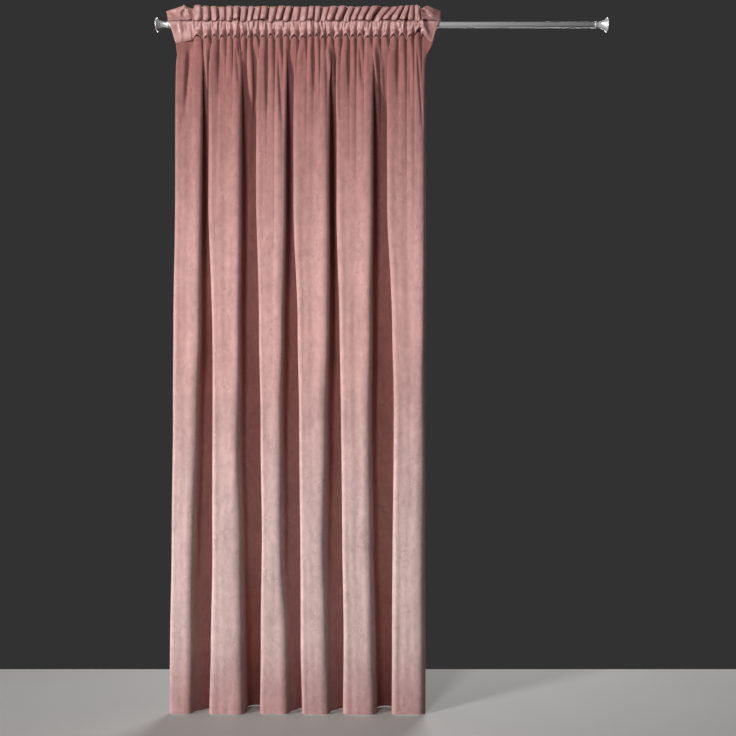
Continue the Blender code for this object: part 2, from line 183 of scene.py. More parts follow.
# A face from its left edge on: shares of the fold's width, and of its distance before the rod's axis there
FACE = ((0.0, 0.74), (0.06, 0.95), (0.18, 0.98), (0.34, 0.997), (0.50, 1.0))
FLANK_TUCK = 0.013  # how far a fold's left flank tucks in under its face
FLANK_ENDS = 0.003  # how far aside of the fold's left edge that flank starts and ends
UNDERCUT = 0.006  # how far a crisp fold's right flank leans back under its edge
SOFTEST = 0.026  # the shoulder at which it no longer does
SIDE_RETURN = 0.006

# Creases given one by one, each a soft trough from a head to a foot; a negative `push` is a ridge.
Crease = namedtuple("Crease", "head_x head_z foot_x foot_z width push")
VELVET_CREASES = [Crease(*row) for row in (
    (-0.737, -0.070, -0.755, -0.42, 0.010, 0.011),
    (-0.620, -0.080, -0.612, -0.30, 0.013, 0.006),
    (-0.563, -0.075, -0.538, -0.28, 0.006, 0.004),
    (-0.548, -0.070, -0.542, -0.14, 0.009, 0.006),
    (-0.441, -0.075, -0.436, -0.40, 0.009, 0.007),
    (-0.400, -0.075, -0.376, -0.44, 0.008, 0.007),
    (-0.301, -0.080, -0.297, -0.24, 0.014, 0.006),
    (-0.263, -0.070, -0.252, -0.30, 0.008, 0.007),
    (-0.124, -0.080, -0.120, -0.28, 0.011, 0.007),
    (-0.088, -0.070, -0.070, -0.26, 0.009, 0.008),
    (0.062, -0.080, 0.068, -0.32, 0.014, 0.007),
    (0.104, -0.070, 0.107, -0.38, 0.008, 0.007),
    (0.134, -0.075, 0.158, -0.46, 0.004, 0.006),
    # ridges that stand in the valleys under the seam
    (-0.672, -0.075, -0.666, -0.44, 0.009, -0.017),
    (-0.506, -0.075, -0.498, -0.42, 0.009, -0.016),
    (-0.211, -0.070, -0.180, -0.30, 0.008, -0.012),
    (-0.190, -0.070, -0.166, -0.44, 0.008, -0.011),
    (-0.031, -0.070, -0.008, -0.40, 0.009, -0.014),
    (-0.008, -0.070, 0.010, -0.36, 0.007, -0.011),
)]
# Folds of the heading's flat ends and its larger wrinkles, on its front face
HEADING_CREASES = [Crease(*row) for row in (
    # the left wing of the frill: a peak with a hollow under it
    (-0.760, 0.074, -0.790, 0.030, 0.0036, -0.0100),
    (-0.760, 0.074, -0.738, 0.026, 0.0036, -0.0100),
    (-0.762, 0.060, -0.757, 0.022, 0.0085, 0.0150),
    (-0.822, 0.046, -0.792, 0.026, 0.0060, -0.0060),
    (-0.806, 0.056, -0.788, 0.044, 0.0060, 0.0060),
    (-0.732, 0.074, -0.727, 0.024, 0.0060, 0.0110),
    # the left wing of the pocket
    (-0.776, 0.012, -0.764, -0.058, 0.0050, -0.0045),
    (-0.760, 0.016, -0.757, -0.050, 0.0030, 0.0030),
    (-0.748, 0.016, -0.746, -0.055, 0.0030, 0.0035),
    # the right wing of the frill
    (0.160, 0.064, 0.216, 0.034, 0.0045, -0.0090),
    (0.156, 0.050, 0.196, 0.022, 0.0060, 0.0070),
    (0.176, 0.064, 0.222, 0.056, 0.0040, -0.0050),
    # the right wing of the pocket: one long pull from the last stitch to the corner
    (0.148, 0.014, 0.186, -0.062, 0.0075, -0.0085),
    (0.170, 0.012, 0.196, -0.016, 0.0070, 0.0045),
    (0.138, 0.010, 0.158, -0.030, 0.0035, 0.0035),
)]

# How finely the cloth is cut into faces
PANEL_COLUMNS = 470
PANEL_WING_STEPS = 20
PANEL_ROWS = 78
FEWEST_STEPS = 7  # across the narrowest gather of the panel
EVEN_ROWS = 0.20  # the share of the panel's rows that is evenly spaced; the rest grow apart downwards
HEADING_STEPS = 17
HEADING_WING_STEPS = 16
HEADING_CROWD = 0.45  # how much closer the heading's lines lie in the gaps
PLAN_POINTS = 1600  # along the plan of the folds
SEAM_POINTS = 4000
HALVINGS = 16  # in the search for the folds' depth
SHALLOWEST, DEEPEST = 0.3, 2.5  # times the depth in the table

# The sewing
THREAD = 0.0007
STITCH = 0.0030
PITCH = 0.0038  # from one stitch to the next
THREAD_RING = ((1, 0), (0, 1), (-1, 0), (0, -1))
HEM_STITCHES = (0.0100, 0.0230)  # how far above the hem's edge the two rows run
STITCH_DIP = 0.0007  # how far they pull the velvet in
STITCH_GRIP = 0.0012  # and how far above and below
HEM_STEP = 0.0015  # how closely the rows of faces lie along those and the hem's edge
HEM_ROWS = (HEM_STEP, 0.0060, 0.0165, 0.0300)  # the other rows there, up to the end of the hem's turning
PLAIN_END = 0.040  # how far above the hem's edge the rows of the rest of the panel end
SEAM_LAP = 0.005  # how far the panel's edge goes up behind the pocket's seam
LAP_BEHIND = 0.0015
TURNED_BEHIND = 1.02 * THICKNESS["velvet"]  # how far behind the panel the turned hems lie
SIDE_STITCHES = 0.8 * SIDE_HEM  # how far in from the side edges theirs run

# Soft unevenness: its lumps' size along x, y and z, where its noise starts, and how far it lifts the cloth
Lumps = namedtuple("Lumps", "size start lift")
PUCKERS = Lumps((0.007, 0.020, 0.030), 17.0, 0.0011)
PUCKER_FADE = 0.018
SWELLS = Lumps((0.055, 0.070, 0.400), 34.0, 0.0022)
SWELL_START = 0.15
DENTS = Lumps((0.020, 0.050, 0.300), 51.0, 0.0012)
SMALL_RUMPLES = Lumps((0.009, 0.020, 0.022), 85.0, 0.0010)
LARGE_RUMPLES = Lumps((0.030, 0.050, 0.040), 102.0, 0.0012)


# ---- curves

def smooth_curve(knots, at):
    """Points on the natural cubic spline through the knots. `at` counts in knots, from 0."""
    steps = np.linalg.norm(np.diff(knots, axis=0), axis=1)
    count = len(knots)
    system = np.eye(count)
    pull = np.zeros_like(knots)
    for i in range(1, count - 1):
        before, after = steps[i - 1], steps[i]
        system[i, i - 1:i + 2] = before, 2 * (before + after), after
        pull[i] = 6 * ((knots[i + 1] - knots[i]) / after - (knots[i] - knots[i - 1]) / before)
    bend = np.linalg.solve(system, pull)
    i = np.minimum(at.astype(int), count - 2)
    share = (at - i)[:, None]
    rest = 1 - share
    sag = (rest**3 - rest) * bend[i] + (share**3 - share) * bend[i + 1]
    return rest * knots[i] + share * knots[i + 1] + steps[i][:, None]**2 / 6 * sag


def length_along(points):
    """The distance along a line of points, from its start to each of them."""
    return np.concatenate([[0.0], np.cumsum(np.linalg.norm(np.diff(points, axis=0), axis=1))])


def ease(share):
    """0 to 1 with a soft start and a soft end."""
    share = np.clip(share, 0.0, 1.0)
    return share * share * (3 - 2 * share)


def uneven(points, lumps):
    """Soft noise for each point, in metres."""
    place = points.reshape(-1, 3) / np.array(lumps.size) + lumps.start
    values = [noise.noise(Vector(p)) for p in place.tolist()]
    return np.array(values).reshape(points.shape[:-1]) * lumps.lift


# ---- the folds

def folds_at(height):
    """The six folds at any height, between the levels of the table, and their shoulder there."""
    for upper, lower in zip(LEVELS, LEVELS[1:]):
        if height >= lower.height:
            break
    share = ease((upper.height - height) / (upper.height - lower.height))
    rows = (1 - share) * np.array(upper.folds) + share * np.array(lower.folds)
    shoulder = (1 - share) * upper.shoulder + share * lower.shoulder
    return [Fold(*row) for row in rows], shoulder


def fold_knots(height):
    """The plan of the six folds at one height: x and y of the points that the cloth passes through."""
    folds, shoulder = folds_at(height)
    undercut = UNDERCUT * max(0.0, 1 - shoulder / SOFTEST)
    knots = []
    for place, fold in enumerate(folds):
        if place == 0:
            knots.append((fold.left + SIDE_RETURN, 0.3 * fold.behind))
        else:
            behind = folds[place - 1].behind
            knots += [(fold.left - FLANK_ENDS, 0.92 * behind), (fold.left + FLANK_TUCK, 0.45 * behind)]
        knots.append((fold.left + FLANK_ENDS, -0.35 * fold.front))
        knots += [(fold.left + wide * (fold.right - fold.left), -out * fold.front) for wide, out in FACE]
        knots.append((fold.right - shoulder, -0.98 * fold.front))
        knots.append((fold.right - 0.3 * shoulder, -0.70 * fold.front))
        if place == len(folds) - 1:
            knots.append((fold.right, -0.20 * fold.front))
            knots.append((fold.right - SIDE_RETURN, 0.3 * fold.behind))
            break
        valley = folds[place + 1].left - fold.right
        landed = fold.right + 0.75 * fold.landing * valley
        knots.append((fold.right - undercut, -0.10 * fold.front))
        knots.append((landed, (0.85 - 0.4 * fold.landing) * fold.behind))
        knots.append((fold.right + (0.60 * fold.landing + 0.30) * valley, fold.behind))
    return np.array(knots)


def fold_plan(height, shares):
    """Where each share of the cut width lies at one height, with the folds as deep as it takes for the whole
    width to lie in them."""
    knots = fold_knots(height)
    fine = np.linspace(0, len(knots) - 1, PLAN_POINTS)
    shallow, deep = SHALLOWEST, DEEPEST
    for _ in range(HALVINGS):
        depth = (shallow + deep) / 2
        points = smooth_curve(knots * (1, depth), fine)
        run = length_along(points)
        if run[-1] < CUT_WIDTH:
            shallow = depth
        else:
            deep = depth
    return np.column_stack([np.interp(shares, run / run[-1], points[:, k]) for k in (0, 1)])


# ---- the gathers

Columns = namedtuple("Columns", "share x across number outward wing lean bulge rise run foot top")


def cloth_at(x):
    """The share of the cut width that hangs left of x at the seam: the folds' own plan, with the cloth of
    their flanks spread over a gather or two, so that each fold hangs straight down from the seam."""
    run = np.linspace(0, 1, SEAM_POINTS)
    plan = fold_plan(LEVELS[0].height, run)
    side = plan[:, 0].max()
    places = np.linspace(POCKET_SEAM_LINE.left, side, SEAM_POINTS // 5)
    first = np.interp(places, np.maximum.accumulate(plan[:, 0]), run)
    last = np.interp(places, np.minimum.accumulate(plan[::-1, 0])[::-1], run)
    share = (first + last) / 2
    kernel = np.hanning(2 * int(FLANK_SPREAD / (places[1] - places[0])) + 1)
    padded = np.pad(share, len(kernel) // 2, mode="reflect", reflect_type="odd")
    share = np.convolve(padded, kernel / kernel.sum(), mode="valid")
    share = (share - share[0]) / (share[-1] - share[0])
    share = (1 - EVEN_CLOTH) * share + EVEN_CLOTH * np.linspace(0, 1, len(share))
    hung = np.interp(x, [POCKET_SEAM_LINE.left, GATHERED.right, POCKET_SEAM_LINE.right],
                     [POCKET_SEAM_LINE.left, GATHERED.right, side])
    return np.interp(hung, places, share)


def gather_ends():
    """The x of the gaps between the gathers at the frill's seam, from the first gather's left side on."""
    passed = np.cumsum([0.0] + [gather.width for gather in GATHERS])
    return GATHERED.left + passed / passed[-1] * (GATHERED.right - GATHERED.left)


def cloth_steps():
    """Steps across each gather for the panel: more where more cloth is drawn in."""
    ends = gather_ends()
    hung = np.diff(ends) / (GATHERED.right - GATHERED.left)
    cloth = np.diff(cloth_at(ends))
    return [max(FEWEST_STEPS, round(PANEL_COLUMNS * share)) for share in (hung + cloth / cloth.sum()) / 2]


def gather_columns(steps, wing_steps, crowd=0.0):
    """One entry for each line of the cloth that runs down it: its share of the cut width, its x at the
    frill's seam, its place across its gather from 0 to 1, its gather's number, and how far out in a wing it
    lies. `crowd` sets the lines closer together in the gaps between the gathers."""
    ends = gather_ends()
    entries = [(ends[0], 0.0, 0, step / wing_steps - 1) for step in range(wing_steps)]
    for number, count in enumerate(steps):
        for step in range(count):
            turn = step / count
            across = turn - crowd * math.sin(2 * math.pi * turn) / (2 * math.pi)
            entries.append((ends[number] + across * (ends[number + 1] - ends[number]), across, number, 0.0))
    last = len(GATHERS) - 1
    entries += [(ends[-1], 0.0, last, step / wing_steps) for step in range(wing_steps + 1)]
    x, across, number, outward = np.array(entries).T
    of = np.array([GATHERS[int(n)] for n in number])
    cols = Columns(None, x, across, number, outward, np.abs(outward), *of[:, 1:].T)
    x = spread_to(cols, FRILL_SEAM_LINE)
    middles = (ends[:-1] + ends[1:]) / 2
    lean = np.interp(x, middles, [gather.lean for gather in GATHERS])
    run = np.interp(x, middles, [gather.run for gather in GATHERS])
    return cols._replace(x=x, lean=lean, run=run, share=cloth_at(spread_to(cols, POCKET_SEAM_LINE)))


def crown(cols, sharpness=0.7):
    """0 in the gaps between the gathers and 1 on their crowns; a lower sharpness makes them fuller."""
    return np.sin(np.pi * cols.across)**sharpness


def ruffle(cols, flatness):
    """0 in the gaps and 1 over most of each ruffle's face; more flatness makes the gaps narrower."""
    return 1 - (1 - np.sin(np.pi * cols.across))**flatness


def spread_to(cols, line):
    """The columns' x where the heading's line runs from line.left to line.right."""
    left = GATHERED.left + cols.wing * (line.left - GATHERED.left)
    right = GATHERED.right + cols.wing * (line.right - GATHERED.right)
    return np.where(cols.outward < 0, left, np.where(cols.outward > 0, right, cols.x))


def seam_height(cols):
    """How far the pocket's seam stands above its lowest line: an arch over each gather, and a pull at the
    right."""
    ends = ease(cols.wing) * (POCKET_END - POCKET_SEAM)
    pulled = np.where(cols.outward > 0, 1 - cols.wing, 0.0)
    before = (cols.number + cols.across - (len(GATHERS) - PULLED_GATHERS)) / PULLED_GATHERS
    last = np.where(cols.outward == 0, ease(before), 0.0)
    return cols.rise * crown(cols, ARCH) + ends + RIGHT_PULL * np.maximum(pulled, last)


def pocket_seam(cols):
    """The seam between the pocket and the panel, as points: it waves in and out, and up and down."""
    x = spread_to(cols, POCKET_SEAM_LINE)
    y = GATHER_DEPTH * (1 - 2 * crown(cols)) * (1 - cols.wing)
    return np.stack([x, y, POCKET_SEAM + seam_height(cols)], axis=1)


def aside(points):
    """For each point, the level direction square to the line through the points, towards the front."""
    along = np.gradient(points[..., :2], axis=-2)
    along /= np.linalg.norm(along, axis=-1)[..., None]
    return np.stack([along[..., 1], -along[..., 0], np.zeros(points.shape[:-1])], axis=-1)


def crease(rows, creases, out, early=0.12, within=0.12):
    """Presses the given creases into rows of points, along the directions in `out`. Each starts the share
    `early` of its length before its head and is whole after the share `within`."""
    for fold in creases:
        head = np.array([fold.head_x, fold.head_z])
        along = np.array([fold.foot_x, fold.foot_z]) - head
        place = (rows[..., (0, 2)] - head) @ along / (along @ along)
        off = np.linalg.norm(rows[..., (0, 2)] - head - np.clip(place, 0, 1)[..., None] * along, axis=-1)
        fade = ease((1 - place) / CREASE_FADE) * ease((place + early) / within)
        press = fold.push * fade * np.exp(-(off / fold.width)**2) * np.abs(out[..., 1])
        rows = rows - press[..., None] * out
    return rows


# ---- the velvet panel

def panel_drops():
    """How far below the pocket's seam each row of the panel lies: close at the top, and again at the hem."""
    share = np.linspace(0, 1, PANEL_ROWS)
    drops = DROP * (EVEN_ROWS * share + (1 - EVEN_ROWS) * share**2)
    hem_rows = list(HEM_ROWS)
    for line in HEM_STITCHES:
        hem_rows += [line - HEM_STEP, line, line + HEM_STEP]
    plain = drops[drops < DROP - PLAIN_END]
    below = DROP - np.array(sorted(hem_rows, reverse=True))
    return np.concatenate([[-SEAM_LAP], plain, below, [DROP]])


def panel_rows(cols, drops):
    """The velvet panel as rows of points, from just above its seam down to its hem."""
    top = pocket_seam(cols)
    wave = -top[:, 1] * np.minimum(SHORT_GATHER + DEEPER * cols.run, LONG_GATHER)
    rows = []
    for drop in drops:
        height = POCKET_SEAM - drop
        below = max(drop, 0.0)
        folds = fold_plan(max(height, HEM), cols.share)
        tight = math.exp(-below / DRAW_FADE)
        drawn = ease(1 - tight)
        deep = ease(1 - math.exp(-below / FOLD_FADE))
        x = (1 - drawn) * top[:, 0] + drawn * folds[:, 0]
        plan = np.column_stack([x, deep * folds[:, 1], np.full_like(x, height)])
        left = np.exp(-(below / (GATHER_REACH * cols.run))**GATHER_END)
        left = left * (GATHER_KEPT + (1 - GATHER_KEPT) * tight)
        plan = plan + (wave * left)[:, None] * aside(plan)
        plan[:, 2] += (top[:, 2] - POCKET_SEAM) * (1 - ease(below / ARCH_END))
        if drop < 0:
            plan[:, 1] += LAP_BEHIND
        rows.append(plan)
    rows = np.array(rows)
    out = aside(rows)
    rows = crease(rows, VELVET_CREASES, out, early=0.04, within=0.24)
    return settle(rows, drops, out)


def settle(rows, drops, out):
    """Makes the panel uneven as hung cloth is: puckers at the seam, slow swells and small dents down the
    folds, and a dip along each row of the hem's stitches."""
    below = np.maximum(drops, 0.0)[:, None]
    pucker = uneven(rows, PUCKERS) * np.exp(-below / PUCKER_FADE)
    swell = uneven(rows, SWELLS) * ease(below / SWELL_START)
    rows = rows + (pucker + swell + uneven(rows, DENTS))[..., None] * out
    above_hem = DROP - drops[:, None]
    for line in HEM_STITCHES:
        rows = rows - (STITCH_DIP * np.exp(-((above_hem - line) / STITCH_GRIP)**2))[..., None] * out
    return rows


def turnings(cols, rows, drops):
    """The hem and the two side hems: strips of the same velvet turned to the back and stitched down. They
    meet at the row of faces where the hem's turning ends."""
    behind = rows - TURNED_BEHIND * aside(rows)
    above_hem = DROP - drops
    low = behind[above_hem < HEM_ROWS[-1] + HEM_STEP]
    high = behind[(above_hem > HEM_ROWS[-1] - HEM_STEP) & (drops > 0)]
    from_left = cols.share * CUT_WIDTH
    return [
        cloth("hem_turning", low, "velvet"),
        cloth("side_hem_left", high[:, from_left <= SIDE_HEM], "velvet"),
        cloth("side_hem_right", high[:, CUT_WIDTH - from_left <= SIDE_HEM], "velvet"),
    ]


# ---- the heading

# The heading's section, from the front of the pocket over the frill's top and down the back. `gap` and
# `crown` are its distances before the rod's axis in the gaps between the gathers and on their crowns.
# `fuller` is the sharpness of those crowns below the frill, and the flatness of the ruffles in it. `lean` is
# the share of each gather's lean, and `follow` the share of the seam's rise. `reach` tells between which
# lines it ends: 0 at the pocket's seam, 1 at the frill's seam and 2 at the frill's top. `sag` is the share of
# each ruffle's `foot` that it hangs down.
Station = namedtuple("Station", "height gap crown fuller lean follow reach sag", defaults=[0.0])
SECTION = [Station(*row) for row in (
    (-0.0600, -0.0060, 0.0135, 0.9, 0.00, 1.00, 0.02),
    (-0.0575, -0.0030, 0.0185, 0.9, 0.00, 1.00, 0.06),
    (-0.0500, 0.0010, 0.0215, 0.8, 0.00, 0.88, 0.15),
    (-0.0385, 0.0030, 0.0190, 0.8, 0.00, 0.52, 0.28),
    (-0.0260, 0.0055, 0.0150, 0.7, 0.00, 0.22, 0.42),
    (-0.0140, 0.0095, 0.0142, 0.6, 0.00, 0.05, 0.58),
    (0.0000, 0.0138, 0.0156, 0.5, 0.00, 0.00, 0.75),
    (0.0075, 0.0130, 0.0144, 0.5, 0.00, 0.00, 0.86),
    (0.0140, 0.0080, 0.0090, 0.6, 0.00, 0.00, 0.95),
    (FRILL_SEAM, 0.0024, 0.0030, 1.0, 0.00, 0.00, 1.00),
    (0.0226, 0.0000, 0.0110, 1.4, 0.03, 0.00, 1.02, 0.35),
    (0.0236, -0.0020, 0.0195, 1.8, 0.06, 0.00, 1.05, 1.00),
    (0.0285, -0.0060, 0.0218, 2.2, 0.14, 0.00, 1.12, 0.62),
    (0.0375, -0.0090, 0.0190, 2.4, 0.36, 0.00, 1.33, 0.12),
    (0.0500, -0.0100, 0.0158, 2.6, 0.65, 0.00, 1.60),
    (0.0620, -0.0098, 0.0132, 2.6, 0.88, 0.00, 1.85),
    (0.0685, -0.0090, 0.0088, 2.5, 0.98, 0.00, 1.97),
    (FRILL_TOP, -0.0088, 0.0015, 3.2, 1.00, 0.00, 2.00),
    (0.0685, -0.0094, -0.0050, 2.4, 0.98, 0.00, 1.97),
    (0.0600, -0.0112, -0.0110, 2.4, 0.85, 0.00, 1.82),
    (0.0450, -0.0116, -0.0130, 2.2, 0.55, 0.00, 1.50),
    (0.0290, -0.0082, -0.0112, 1.6, 0.15, 0.00, 1.12),
    (0.0235, -0.0044, -0.0068, 1.2, 0.05, 0.00, 1.03),
    (FRILL_SEAM, -0.0026, -0.0034, 1.0, 0.00, 0.00, 1.00),
    (0.0165, -0.0075, -0.0115, 0.6, 0.00, 0.00, 0.95),
    (0.0080, -0.0138, -0.0165, 0.5, 0.00, 0.00, 0.85),
    (0.0000, -0.0140, -0.0165, 0.5, 0.00, 0.00, 0.75),
    (-0.0140, -0.0110, -0.0148, 0.6, 0.00, 0.05, 0.58),
    (-0.0360, -0.0110, -0.0110, 0.7, 0.00, 0.35, 0.32),
    (-0.0500, -0.0105, -0.0020, 0.8, 0.00, 0.80, 0.14),
    (-0.0600, -0.0105, 0.0040, 0.8, 0.00, 1.00, 0.02),
)]
TOP_STATION = next(station for station in SECTION if station.height == FRILL_TOP)
SECTION_STEPS = 2  # rows of faces between two stations
RIGHT_PULL = 0.030  # how far the seam is pulled up where the right wing starts
PULLED_GATHERS = 1.5  # and over how many gathers before it
TUBE = 0.0013  # how far a ruffle's sides bulge over the gaps beside it
FULL_CROWN = 0.0135  # a station whose crown stands out this far has the whole of that bulge
GAP_NOTCH = 0.0026  # how much lower the frill's top is in the gaps
NOTCH = 2.5  # how narrow those notches are, as a ruffle's flatness
FOOT_ROUND = 0.8  # how pointed the ruffles hang
FOOT_LEAST = 0.008  # what every ruffle hangs over the stitches, besides its `foot`
WING_FOOT = 0.010  # the same for the flat ends
WING_PUFF = 0.016  # how far the flat ends stand out there
WING_LEVEL = 0.35  # where the flat ends lie between the gaps and the crowns
WING_LESS = 0.25  # how much less they hang and stand out at their tips
FULL_BULGE = 0.0125  # a gather whose `bulge` is this keeps the section's whole crown
# How far out in a wing the frill's top has its dip, its peak and its tip, and how high each stands
WING_OUTLINE = ((0.0, 0.0), (0.07, -0.0035), (0.34, 0.0090), (0.62, 0.0010), (1.0, -0.0050))
WING_BACK = 0.020  # how far the tip leans back
CORNER_DROP = 0.002
CREASE_FADE = 0.55  # the last share of a crease's length, where it runs out

# Small tight folds in the pocket: how many a gap has at most, where their heads lie beside it, how far their
# feet lie aside of those, how low they end, and how wide they are and how far they are pressed
PULLS_AT_MOST = 4
PULL_HEADS = (-0.009, 0.013)
PULL_HEIGHT = 0.020
PULL_SLANT = 0.016
PULL_FEET = (-0.060, -0.014)
PULL_WIDTHS = (0.0018, 0.0044)
PULL_PUSHES = (-0.0034, -0.0024, 0.0022, 0.0034)


def between(first, second, share):
    return Line(*(a + share * (b - a) for a, b in zip(first, second)))


def station_row(cols, station):
    """One station of the heading's section, as a row of points along the curtain."""
    if station.reach <= 1:
        line = between(POCKET_SEAM_LINE, FRILL_SEAM_LINE, station.reach)
        size = 1.0
    else:
        line = between(FRILL_SEAM_LINE, FRILL_TOP_LINE, station.reach - 1)
        size = cols.bulge / FULL_BULGE
    up = max(station.reach - 1, 0)
    shape = ruffle if up > 0 else crown
    swollen = (station.crown - station.gap) * size * shape(cols, station.fuller)
    x = spread_to(cols, line) + station.lean * cols.lean * (1 - cols.wing)
    fat = min(abs(station.crown - station.gap) / FULL_CROWN, 1.0)
    x = x - TUBE * ease(station.reach) * fat * np.sin(2 * np.pi * cols.across)
    y = -station.gap - swollen + up * WING_BACK * cols.wing**2
    y = y - WING_LEVEL * (station.crown - station.gap) * (1 - cols.wing) * (cols.outward != 0)
    z = station.height + station.follow * seam_height(cols)
    z = z - min(station.reach, 1) * CORNER_DROP * cols.wing**2
    z = z + up * np.interp(cols.wing, *zip(*WING_OUTLINE))
    if up > 0:
        z = z + up * (cols.top * crown(cols) - GAP_NOTCH * (1 - ruffle(cols, NOTCH)) * (1 - cols.wing))
    flat_end = (cols.outward != 0) * (1 - WING_LESS * cols.wing)
    y = y - station.sag * WING_PUFF * flat_end
    z = z - station.sag * ((FOOT_LEAST + cols.foot) * crown(cols, FOOT_ROUND) + WING_FOOT * flat_end)
    return np.column_stack([x, y, z])


def heading_rows(cols):
    """The heading as rows of points, from its front lower edge over the frill to its back lower edge."""
    stations = np.array([station_row(cols, station) for station in SECTION])
    knots = stations.reshape(len(SECTION), -1)
    at = np.linspace(0, len(SECTION) - 1, (len(SECTION) - 1) * SECTION_STEPS + 1)
    rows = smooth_curve(knots, at).reshape(len(at), -1, 3)
    front = (at < SECTION.index(TOP_STATION))[:, None, None]
    towards = np.where(front, 1.0, -1.0) * np.array([0.0, -1.0, 0.0])
    pulled = crease(rows, HEADING_CREASES + pulls(cols), towards * front)
    return off_the_rod(rumple(pulled, towards))


def pulls(cols):
    """Small tight folds that run from the frill's stitches over the rod to the puffs, slightly aslant."""
    random = np.random.default_rng(seed=11)
    found = []
    for gap in cols.x[(cols.across == 0) & (cols.outward == 0)]:
        for _ in range(random.integers(1, PULLS_AT_MOST + 1)):
            head_x = gap + random.uniform(*PULL_HEADS)
            foot_x = head_x + random.uniform(-PULL_SLANT, PULL_SLANT)
            foot_z = random.uniform(*PULL_FEET)
            push = random.choice(PULL_PUSHES)
            found.append(Crease(head_x, PULL_HEIGHT, foot_x, foot_z, random.uniform(*PULL_WIDTHS), push))
    return found


def off_the_rod(rows):
    """Lifts what the creases pressed into the rod back onto it."""
    away = np.maximum(np.linalg.norm(rows[..., 1:], axis=-1), 0.5 * ROD_RADIUS)
    lift = np.maximum((ROD_RADIUS + 2 * THICKNESS["heading_cloth"]) / away, 1.0)
    return rows * np.stack([np.ones_like(lift), lift, lift], axis=-1)


def rumple(rows, towards):
    """Soft small unevenness all over the heading, taller than wide."""
    return rows + (uneven(rows, SMALL_RUMPLES) + uneven(rows, LARGE_RUMPLES))[..., None] * towards


# ---- making meshes

def put(name, data):
    """A new object in the scene."""
    made = bpy.data.objects.new(name, data)
    bpy.context.scene.collection.objects.link(made)
    return made


def piece(name, points, faces, slot, finish=None):
    """A smooth mesh piece of the curtain, in its slot's finish or in another one."""
    mesh = bpy.data.meshes.new(name)
    mesh.from_pydata(points, [], faces)
    mesh.materials.append(FINISHES[finish or slot])
    mesh.shade_smooth()
    made = put(name, mesh)
    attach(made, "root")
    return made


def quads(corner):
    """Four-sided faces on a grid of point numbers."""
    faces = np.stack([corner[:-1, :-1], corner[:-1, 1:], corner[1:, 1:], corner[1:, :-1]], axis=-1)
    return faces.reshape(-1, 4)


def laid_flat(cols, width, down):
    """Where each point of a sheet lies on its cloth spread out flat, in metres."""
    return np.stack(np.broadcast_arrays(cols.share[None, :] * width, -down[:, None]), axis=-1)


def cloth(name, rows, slot, flat=None):
    """A sheet through the rows of points, thickened to both sides. The weave and the nap follow `flat`."""
    if flat is None:
        flat = rows[..., (0, 2)]
    faces = quads(np.arange(rows[..., 0].size).reshape(rows.shape[:2]))
    made = piece(name, rows.reshape(-1, 3).tolist(), faces.tolist(), slot)
    layer = made.data.uv_layers.new(name="Flat cloth")
    layer.data.foreach_set("uv", flat.reshape(-1, 2)[faces.reshape(-1)].astype(np.float32).ravel())
    thick = made.modifiers.new("Thickness", "SOLIDIFY")
    thick.thickness = THICKNESS[slot]
    thick.offset = 0.0
    return made


def read_at(place, run, line):
    """The line's point, or the direction that goes with it, at a distance along it."""
    return np.array([np.interp(place, run, line[:, k]) for k in range(3)])


def stitches(name, points, out, slot):
    """A row of stitches along a line of points: each a short thread that dips into the cloth at both
    ends."""
    run = length_along(points)
    lift = THICKNESS[slot] / 2
    sides = len(THREAD_RING)
    verts, faces = [], []
    for start in np.arange(PITCH / 2, run[-1] - PITCH, PITCH):
        first, last = read_at(start, run, points), read_at(start + STITCH, run, points)
        up = read_at(start, run, out)
        up /= np.linalg.norm(up)
        side = np.cross((last - first) / np.linalg.norm(last - first), up)
        tip = len(verts)
        near, far = tip + 1, tip + 1 + sides
        verts.append(first + (lift - THREAD) * up)
        for share in (0.25, 0.75):
            middle = first + share * (last - first) + lift * up
            verts += [middle + THREAD / 2 * (a * side + b * up) for a, b in THREAD_RING]
        verts.append(last + (lift - THREAD) * up)
        for k in range(sides):
            after = (k + 1) % sides
            faces.append((tip, near + after, near + k))
            faces.append((near + k, near + after, far + after, far + k))
            faces.append((far + sides, far + k, far + after))
    return piece(name, [tuple(v) for v in verts], faces, slot, "thread")


# ---- the rod and its finials

ROD_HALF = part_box("rod")[1].x
ROD_WALL = 0.0012
ROD_EDGE = 0.0004
FINIAL_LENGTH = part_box("finial_right")[1].x - ROD_HALF
FINIAL_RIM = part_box("finial_right")[1].z
FINIAL_NECK = 0.0120
FINIAL_LIP = 0.0036  # the rolled edge round its face
FACE_SUNK = 0.0015  # how deep the face lies in that edge
FLARE = 2.1  # how sharply the flare opens
FLARE_STEPS = 32
LIP_STEPS = 12
COLLAR = 0.0075
SPIGOT = 0.030
TURN_STEPS = 96


def turned(name, profile, closed, slot):
    """A piece turned about the rod's axis. `profile` holds its radius and its place along the axis."""
    turns = np.linspace(0, 2 * np.pi, TURN_STEPS, endpoint=False)
    radius, along = np.array(profile).T
    points = np.stack([
        np.broadcast_to(along, (TURN_STEPS, len(along))),
        np.outer(np.cos(turns), radius),
        np.outer(np.sin(turns), radius),
    ], axis=-1)
    corner = np.arange(points[..., 0].size).reshape(TURN_STEPS, -1)
    corner = np.vstack([corner, corner[:1]])
    if closed:
        corner = np.hstack([corner, corner[:, :1]])
    made = piece(name, points.reshape(-1, 3).tolist(), quads(corner).tolist(), slot)
    weld = made.modifiers.new("Close the ends", "WELD")
    weld.merge_threshold = 0.00001
    return made


def rod_tube():
    outer, inner = ROD_RADIUS, ROD_RADIUS - ROD_WALL
    half = [(inner, 0.0), (inner, ROD_HALF), (outer - ROD_EDGE, ROD_HALF), (outer, ROD_HALF - ROD_EDGE)]
    profile = [(r, -x) for r, x in half[::-1]][:3] + half[1:]
    return turned("curtain_rod", profile, True, "rod_metal")


